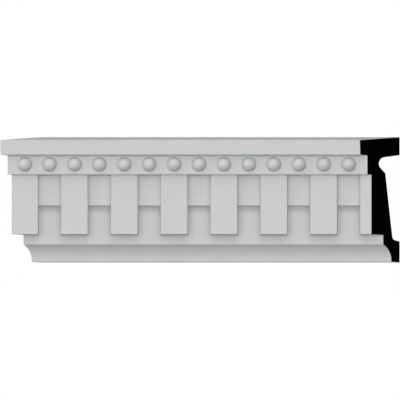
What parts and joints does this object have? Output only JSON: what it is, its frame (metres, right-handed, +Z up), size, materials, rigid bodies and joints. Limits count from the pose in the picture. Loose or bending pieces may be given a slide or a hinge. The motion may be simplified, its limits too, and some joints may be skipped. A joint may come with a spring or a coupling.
{
  "type": "dentil dado rail",
  "caption": "Mitred length of wall moulding with a top ledge, a row of beads, dentils over a stepped back, a plain frieze, a cove and a hollow back",
  "frame": {"origin": "centre of the lower wall face, at the middle of the rail's length along the wall", "axes": "+X along the rail, to the right for someone facing it; +Y into the wall, so the front faces -Y; +Z up"},
  "size_m": [0.4008, 0.04, 0.1259],
  "materials": {
    "primed_paint": "factory-primed rigid polyurethane, pale warm grey, smooth and nearly matt",
    "cut_face": "flat black on the mitred cut faces"
  },
  "bodies": {
    "root": {"dentil_dado_rail": "primed_paint"}
  },
  "joints": []
}
